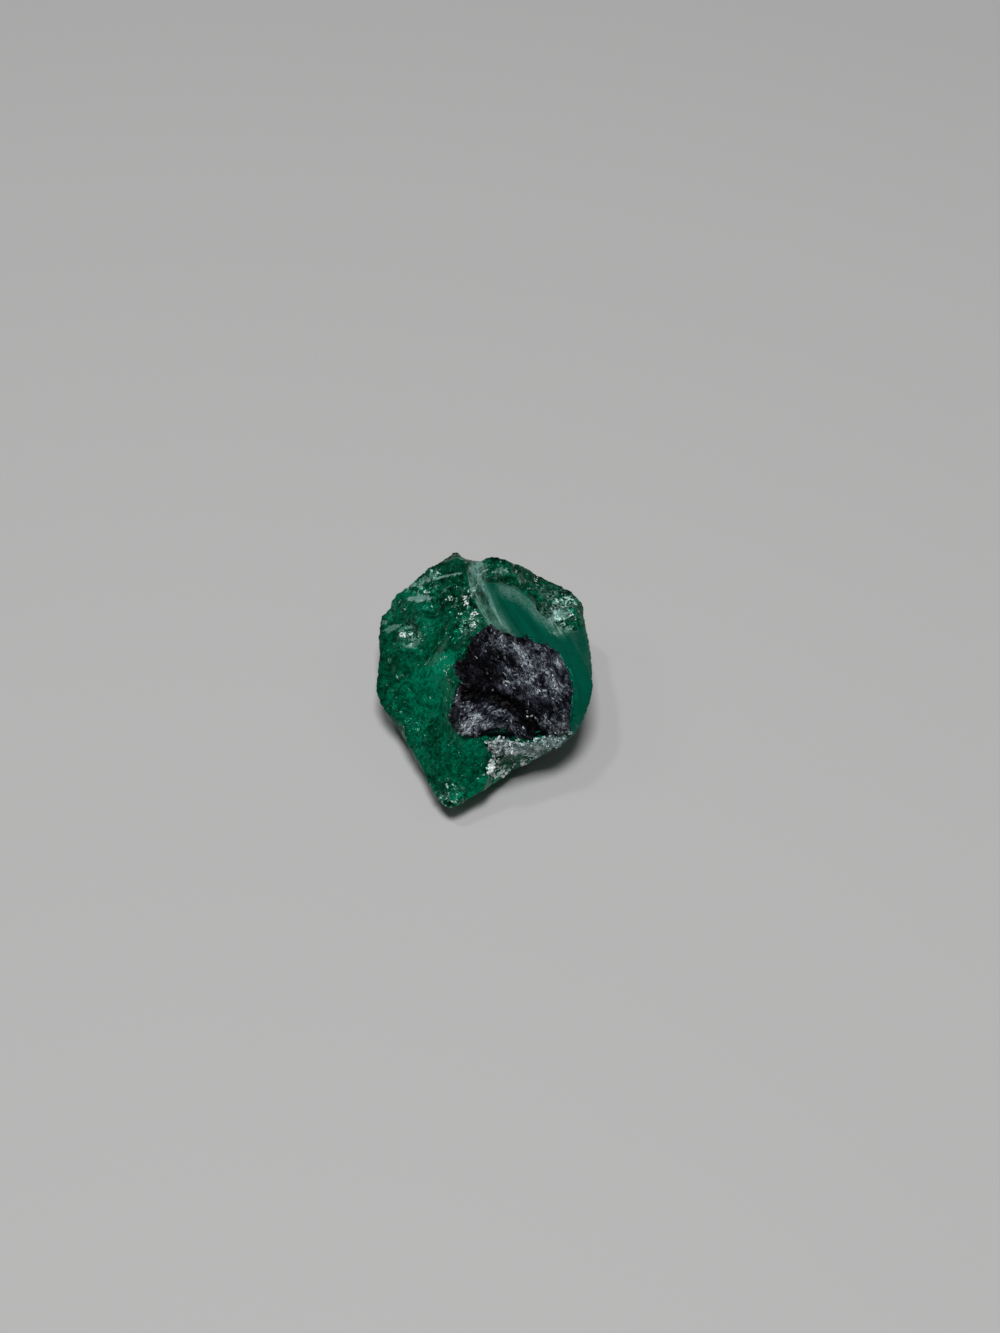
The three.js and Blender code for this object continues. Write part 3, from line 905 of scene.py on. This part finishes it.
mica = {
    "cell": 0.047,           # mm
    "ragged": 0.12,          # mm that the outline wanders
    "thickness": 0.5,        # mm, of what lies sunk in the crystal
    "calming": 6,            # rounds that smooth the surface it lies on
    "crumple": 0.26,         # mm between the crests and the folds
    "scaleThickness": 0.035,
    "plates": {"count": 600, "lengths": (0.15, 0.5), "slimness": (0.3, 0.6), "tilt": 0.35,
               "lighter": -0.05, "spread": 0.18},
    "glints": {"count": 1300, "lengths": (0.08, 0.36), "slimness": (0.15, 0.4), "tilt": 0.5,
               "lighter": 0.03, "spread": 0.25},
    "lobeRun": 38,           # degrees that the scales run at on the lower lobe
    "ridgeRun": -58,         # and elsewhere
    # Painted shade darkens the crevice, lower crack and hollow; painted highlights light the streaks, lobe
    # and right side
    "crevice": [(-0.8, -0.9), (0.6, -1.0), (1.8, -1.6), (2.6, -2.6), (3.0, -3.0)],
    "lowerCrack": [(0.0, -3.1), (0.6, -2.9), (1.4, -3.0)],
    "highlightStreak": [(0.5, 3.0), (0.87, 2.5), (1.5, 1.8), (2.3, 0.8), (2.6, 0.3)],
    "lobeHighlight": [(-1.2, -2.9), (-0.3, -2.0)],
    "lowerEdge": [(1.0, -2.4), (4.0, -2.8)],
    "lobe": (-0.4, -2.1),
    "rightSide": (3.3, 0.5),
    "hollow": (-0.4, 0.6),
    "sparks": [              # across, up, length in mm, degrees
        (1.18, -0.17, 0.28, -25), (1.63, -0.42, 0.2, -20), (0.42, -0.6, 0.15, 0), (2.45, -2.06, 0.28, -30),
        (2.15, -2.66, 0.18, -10), (3.78, 0.16, 0.18, 20), (3.88, -0.54, 0.3, -70), (3.0, -0.66, 0.28, -60),
        (-0.43, 1.16, 0.14, 0), (0.45, 1.64, 0.16, 80), (4.15, 0.31, 0.16, -40), (3.6, -2.36, 0.18, -60),
        (1.09, -1.75, 0.16, -30), (2.35, -1.8, 0.18, -80), (0.4, 3.3, 0.16, -60),
    ],
}


# Dark mica with thin pale strokes painted as highlights where its leaves curl up
def micaFinish(name, stroked):
    f = Finish(name)
    shade = f.painted("shade")
    run = f.paintedPlace("run")
    speckle = f.grain(f.place(), 0.08, 4.0, 0.7)
    light = shade + (speckle - 0.5) * 0.35
    if stroked:
        folds = f.threads(run, 0.42, 3.5, 1.2)
        strokes = f.threads(run, 0.2, 6.0, 1.6)
        hairs = f.threads(run, 0.1, 6.0, 1.4)
        light = shade * (folds * 0.4 + strokes * 0.95 + hairs * 0.75 - 0.12) + (speckle - 0.5) * 0.35
    tone = f.ramp(f.clamped(light), (0.0, (0.0005, 0.0005, 0.001)), (0.25, (0.002, 0.002, 0.004)),
                  (0.45, (0.02, 0.022, 0.032)), (0.7, (0.09, 0.1, 0.125)), (1.0, (0.5, 0.58, 0.62)))
    bump = f.add("Bump", sockets={"Strength": 0.6, "Distance": 0.03 * mm, "Height": light})
    return f.finish(Surface=f.add("BsdfPrincipled", sockets={
        "Base Color": tone, "Roughness": 0.5, "Specular IOR Level": 0.1, "Normal": bump}))


# How light the mica is at each place: painted highlights make the streaks, the lower lobe and the right side
# pale,
# it is lighter along the lower edge, and painted shade makes the hollow, crevice and lower crack nearly black
def micaLightAndShade(flat):
    patches = fractal(flat3(flat), 0.6, 4, seed=11)
    shade = 0.44 + 0.25 * patches
    shade += 0.2 * nearLine(flat, mica["highlightStreak"], 0.15, 0.5)
    shade += 0.2 * nearLine(flat, mica["lobeHighlight"], 0.08, 0.3)
    shade += 0.12 * nearLine(flat, mica["lowerEdge"], 0.3, 0.9)
    shade += 0.12 * near(flat, mica["lobe"], 1.6) + 0.12 * near(flat, mica["rightSide"], 2.2)
    shade -= 0.3 * near(flat, mica["hollow"], 1.7)
    shade -= 0.45 * nearLine(flat, mica["crevice"], 0.15, 0.6)
    shade -= 0.5 * nearLine(flat, mica["lowerCrack"], 0.15, 0.35)
    return shade


# The way the mica's scales run: along the ridge, and square to it on the lower lobe
def micaRun(flat):
    onLobe = near(flat, mica["lobe"], 2.4) + 0.3 * fractal(flat3(flat), 0.6, 3, seed=21) > 0.5
    return np.radians(np.where(onLobe, mica["lobeRun"], mica["ridgeRun"]))


# Places on the mica drawn out the way its scales run
def micaPlaces(flat):
    run = micaRun(flat)
    bent = flat + 0.35 * np.column_stack([fractal(flat3(flat), 1.0, 3, seed=seed) for seed in (22, 23)])
    along = bent[:, 0] * np.cos(run) + bent[:, 1] * np.sin(run)
    aside = bent[:, 1] * np.cos(run) - bent[:, 0] * np.sin(run)
    return np.column_stack([along / 2.6, aside, run])


# How high the crumpled leaves stand at such places, from 0 in a fold to 1 on a crest
def micaCrests(places):
    coarse = 1 - np.abs(fractal(places, 0.5, 2, seed=24)) * 1.6
    fine = 1 - np.abs(fractal(places, 0.2, 2, seed=25)) * 1.6
    return np.clip(coarse * 0.6 + fine * 0.4, 0, 1)


# The mica's edge runs down into the crystal, so no gap shows under it
def micaHeight(flat, inside):
    height = -0.4 + 0.46 * fade(inside, -0.12, 0.08)
    height -= 0.3 * near(flat, mica["hollow"], 1.7)
    height -= 0.35 * nearLine(flat, mica["crevice"], 0.1, 0.6)
    height += 0.12 * nearLine(flat, mica["highlightStreak"], 0.1, 0.6)
    height += 0.08 * fractal(flat3(flat), 0.7, 3, seed=13)
    return height + mica["crumple"] * (micaCrests(micaPlaces(flat)) - 0.7) * fade(inside, -0.1, 0.1)


def makeMica():
    points, faces, flat, inside = layOver(mica, marks["micaOutline"], micaHeight)
    print("mica bed triangles", len(faces) * 2)
    finish = micaFinish("mica_bed", True)
    bed = buildPiece("mica_bed", points, faces, finish, sharpOver=40)
    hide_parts("mica_patch")
    places = micaPlaces(flat)
    # Painted highlights on the crests of the crumpled leaves, painted shade in the folds
    shade = np.clip(micaLightAndShade(flat) + 0.5 * (micaCrests(places) - 0.72), 0, 1)
    paintPoints(bed, "shade", np.tile(shade, 2))
    paintPlaces(bed, "run", np.tile(places, (2, 1)))

    normals = pointNormals(smoothed(points, faces, 4), faces)
    chosen = np.flatnonzero(inside > 0.03)
    plates, glints = [scatterScales(points, normals, chosen, mica[kind]) for kind in ("plates", "glints")]
    buildScales("mica_plates", *plates, mica["plates"])
    buildScales("mica_glints", *glints, mica["glints"])
    return searchTree(points, faces)


# Scales laid on the chosen points, each leaning its own way: middles, outward and long directions, and sizes
def scatterScales(points, normals, chosen, kind):
    count = kind["count"]
    spots = random.choice(chosen, count)
    low, high = kind["lengths"]
    length = low * (high / low) ** random.random(count) ** 1.5
    widths = length * random.uniform(*kind["slimness"], count)
    sizes = np.stack([length, widths, np.full(count, mica["scaleThickness"])], axis=1)
    centres = points[spots] + normals[spots] * random.uniform(-0.02, 0.03, count)[:, None]
    run = micaRun(acrossAndUp(centres)) + random.normal(0, 0.35, count)
    lengthwise = np.cos(run)[:, None] * np.array([1, 0, 0]) + np.sin(run)[:, None] * upward
    return centres, normals[spots] + random.normal(0, kind["tilt"], (count, 3)), lengthwise, sizes


def buildScales(name, centres, outward, lengthwise, sizes, kind):
    points, faces = splinters(centres, outward, lengthwise, sizes)
    piece = buildPiece(name, points, faces, micaFinish(name, False))
    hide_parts("mica_patch")
    # Each scale takes the mica's painted light and shade where it lies, shifted at random
    shade = micaLightAndShade(acrossAndUp(centres)) + random.normal(kind["lighter"], kind["spread"], len(centres))
    paintPoints(piece, "shade", np.repeat(np.clip(shade, 0, 1), 6))


micaTree = makeMica()
print("mica made")

crust = {
    "cell": 0.05,            # mm
    "ragged": 0.22,          # mm that the outline wanders
    "thickness": 0.4,        # mm, of what lies sunk in the crystal
    "calming": 6,            # rounds that smooth the surface it lies on
    "lump": (0.85, -3.75),
    "grains": 240,
    "grainSizes": (0.06, 0.2),
    "spill": 0.12,           # mm that the grains stray
}


# White to dark grey at the left and green-grey at the right, in fine streaks
def crustFinish(name, rough):
    f = Finish(name)
    spot = f.place()
    speckle = f.grain(spot, 0.08, 4.0, 0.7)
    streaks = f.threads(spot, 0.55, 6.0, 1.6) + f.threads(spot, 0.24, 6.0, 1.2) * 0.8
    light = f.clamped(f.painted("shade") + (speckle - 0.5) * 0.5 + (streaks - 0.4) * 0.7)
    grey = f.ramp(light, (0.0, (0.008, 0.012, 0.012)), (0.4, (0.045, 0.066, 0.066)),
                  (0.7, (0.18, 0.245, 0.245)), (1.0, (0.85, 0.97, 0.96)))
    teal = f.ramp(light, (0.0, (0.001, 0.02, 0.013)), (0.4, (0.035, 0.12, 0.105)),
                  (0.7, (0.2, 0.34, 0.33)), (1.0, (0.85, 1.0, 0.96)))
    tone = f.blend(f.painted("tealness"), grey, teal)
    bump = f.add("Bump", sockets={"Strength": 0.5, "Distance": 0.02 * mm, "Height": light})
    return f.finish(Surface=f.add("BsdfPrincipled", sockets={
        "Base Color": tone, "Roughness": rough, "Normal": bump}))


# The crust is whitest in the lump at its left end
def crustShade(flat):
    shade = 0.17 + 0.4 * fractal(flat3(flat), 0.4, 4, seed=32) + 0.06 * near(flat, crust["lump"], 0.9)
    return shade + 0.1 * fade(flat[:, 0], 1.6, 2.2) - 0.12 * fade(flat[:, 0], 3.6, 4.4)


# It turns from grey to green toward its right end
def crustTealness(flat):
    return fade(flat[:, 0] + 0.8 * fractal(flat3(flat), 0.5, 3, seed=33), 1.2, 2.4)


# The crust too runs down into the crystal at its edge, and is highest in the lump
def crustHeight(flat, inside):
    height = -0.12 + 0.24 * fade(inside, -0.1, 0.15) + 0.18 * near(flat, crust["lump"], 0.8)
    return height + 0.14 * fractal(flat3(flat), 0.35, 4, seed=31) * fade(inside, -0.1, 0.1)


def makeCrust():
    points, faces, flat, _ = layOver(crust, marks["crustOutline"], crustHeight)
    bed = buildPiece("crust_bed", points, faces, crustFinish("crust_bed", 0.35), sharpOver=40)
    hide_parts("pale_crust")
    paintPoints(bed, "shade", np.tile(np.clip(crustShade(flat), 0, 1), 2))
    paintPoints(bed, "tealness", np.tile(crustTealness(flat), 2))

    normals, count = pointNormals(points, faces), crust["grains"]
    spots = random.choice(len(flat), count)
    low, high = crust["grainSizes"]
    length = low * (high / low) ** random.random(count) ** 1.5
    sizes = length[:, None] * np.column_stack([np.ones(count), random.uniform(0.5, 0.9, (count, 2))])
    centres = points[spots] + random.normal(0, crust["spill"] / 2, (count, 3))
    centres -= normals[spots] * (length * 0.3)[:, None]
    grainPoints, grainFaces = blocks(centres, normals[spots] + random.normal(0, 0.4, (count, 3)), sizes)
    finish = crustFinish("crust_grains", 0.3)
    grains = buildPiece("crust_grains", grainPoints, grainFaces, finish)
    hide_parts("pale_crust")
    shade = crustShade(acrossAndUp(centres)) + random.normal(0.1, 0.25, count)
    paintPoints(grains, "shade", np.repeat(np.clip(shade, 0, 1), 8))
    paintPoints(grains, "tealness", np.repeat(crustTealness(acrossAndUp(centres)), 8))


makeCrust()
print("crust made")

# Bright flecks painted white as glints where small breaks catch the light
flecks = {
    "spots": [               # across, up, length in mm, degrees
        (-1.55, 5.0, 0.22, 20), (-1.92, 4.43, 0.34, -35), (-1.0, 4.33, 0.45, 15), (-0.57, 3.5, 0.42, 30),
        (-0.5, 3.0, 0.3, 20), (-1.4, 3.57, 0.16, 80), (-4.5, 2.45, 0.4, -75), (-3.98, 1.82, 0.26, 20),
        (-3.4, 2.2, 0.16, 60), (-3.1, 4.72, 0.34, -35), (1.73, 5.85, 0.2, -20), (1.6, 6.15, 0.14, -20),
        (2.8, 5.45, 0.24, -50), (3.9, 5.4, 0.14, -30), (-4.76, 0.17, 0.2, -40), (-2.95, -0.97, 0.16, 0),
        (-2.03, -0.55, 0.14, 0), (-1.93, -0.03, 0.1, 0), (0.48, -4.6, 0.55, 70), (0.42, -5.0, 0.6, 85),
        (0.5, -5.3, 0.4, 30), (0.95, -5.06, 0.6, 20), (1.35, -4.95, 0.36, 0), (2.15, -4.58, 0.5, 30),
        (2.2, -4.1, 0.36, -20), (2.75, -4.2, 0.36, 60), (0.75, -4.36, 0.2, 30), (1.65, -4.65, 0.3, 10),
        (1.1, -5.3, 0.3, 60), (3.3, -3.9, 0.24, 20), (4.75, 3.45, 0.3, 40), (3.95, 3.9, 0.24, -50),
        (4.5, 4.0, 0.24, -60), (5.0, 3.3, 0.2, 30), (-2.2, 1.15, 0.18, 60), (-2.1, 0.35, 0.22, -20),
    ],
    "together": 60,          # for a length of 1 mm
    "spread": 0.26,          # of the length
    "sizes": (0.2, 0.62),    # of the length
    "slimness": (0.45, 0.95),
    "thickness": 0.05,       # mm
    "turn": 25,              # degrees that they stray
    "lean": 0.3,             # how far they lean to face up
    "tilt": 0.12,
}


def fleckFinish(name):
    f = Finish(name)
    shade = f.clamped(f.painted("shade") + (f.grain(f.place(), 0.08, 3.0, 0.7) - 0.5) * 0.8)
    tone = f.ramp(shade, (0.0, (0.05, 0.25, 0.18)), (0.5, (0.35, 0.6, 0.52)), (1.0, (0.95, 1.0, 0.98)))
    return f.finish(Surface=f.add("BsdfPrincipled", sockets={"Base Color": tone, "Roughness": 0.15}))


# A few splinters lying together at each spot of a list, on the surface that the eye sees there
def scatterFlecks(name, spots, tree):
    centres, outward, lengthwise, sizes = [], [], [], []
    for across, up, length, turn in spots:
        for _ in range(2 + int(length * length * flecks["together"])):
            shift = random.normal(0, length * flecks["spread"], 2)
            sight = sightLines(np.array([[across + shift[0], up + shift[1]]]))[0]
            place, normal, _, _ = tree.ray_cast(Vector(eye), Vector(sight))
            if place is None:
                continue
            way = math.radians(turn + random.normal(0, flecks["turn"]))
            size = length * random.uniform(*flecks["sizes"])
            centres.append(place)
            outward.append(np.array(normal) + (0, 0, flecks["lean"]))
            lengthwise.append(np.array([math.cos(way), 0, 0]) + upward * math.sin(way))
            sizes.append((size, size * random.uniform(*flecks["slimness"]), flecks["thickness"]))
    outward = np.array(outward) + random.normal(0, flecks["tilt"], (len(outward), 3))
    points, faces = splinters(np.array(centres), outward, np.array(lengthwise), np.array(sizes))
    piece = buildPiece(name, points, faces, fleckFinish(name))
    paintPoints(piece, "shade", np.repeat(random.uniform(0.6, 1.2, len(centres)), 6))
    return piece


scatterFlecks("bright_flecks", flecks["spots"], searchTree(crystalPoints, crystalQuads))
micaSparks = scatterFlecks("mica_sparks", mica["sparks"], micaTree)
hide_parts("mica_patch")
print("flecks made")

studio = {
    "floor": (0.55, 0.55, 0.545),
    "floorDrop": 0.01,       # mm below the stone
    "floorReach": 1500,
    "sky": (0.93, 0.96, 1.0),
    "skyStrength": 0.04,
    "lamps": {               # place and size in mm, strength in watts
        "overhead": ((0, -60, 400), (120, 120), 1.12),
        "leftSide": ((-300, 40, 260), (100, 100), 0.04),
        "rightSide": ((300, 60, 260), (100, 100), 0.04),
        "sparkle": ((-120, 60, 300), (30, 30), 0.1),
    },
}


def makeFloor():
    f = Finish("floor_paint")
    surface = f.add("BsdfPrincipled", sockets={"Base Color": studio["floor"], "Roughness": 0.6})
    mesh = bpy.data.meshes.new("floor")
    reach, low = studio["floorReach"] * mm, -studio["floorDrop"] * mm
    corners = [(-reach, -reach, low), (reach, -reach, low), (reach, reach, low), (-reach, reach, low)]
    mesh.from_pydata(corners, [], [(0, 1, 2, 3)])
    mesh.materials.append(f.finish(Surface=surface))
    floor = bpy.data.objects.new("floor", mesh)
    bpy.context.scene.collection.objects.link(floor)


def makeLamps():
    for name, (place, size, strength) in studio["lamps"].items():
        lamp = bpy.data.lights.new(name, "AREA")
        lamp.shape = "RECTANGLE"
        lamp.size, lamp.size_y = size[0] * mm, size[1] * mm
        lamp.energy = strength
        holder = bpy.data.objects.new(name, lamp)
        holder.location = Vector(place) * mm
        holder.rotation_mode = "QUATERNION"
        holder.rotation_quaternion = (-Vector(place)).to_track_quat("-Z", "Y")
        bpy.context.scene.collection.objects.link(holder)


def makeSky():
    sky = bpy.data.worlds.new("sky")
    sky.use_nodes = True
    backdrop = sky.node_tree.nodes["Background"]
    backdrop.inputs["Color"].default_value = (*studio["sky"], 1)
    backdrop.inputs["Strength"].default_value = studio["skyStrength"]
    bpy.context.scene.world = sky


makeFloor()
makeLamps()
makeSky()
bpy.context.scene.view_settings.view_transform = "Standard"
print("studio made")
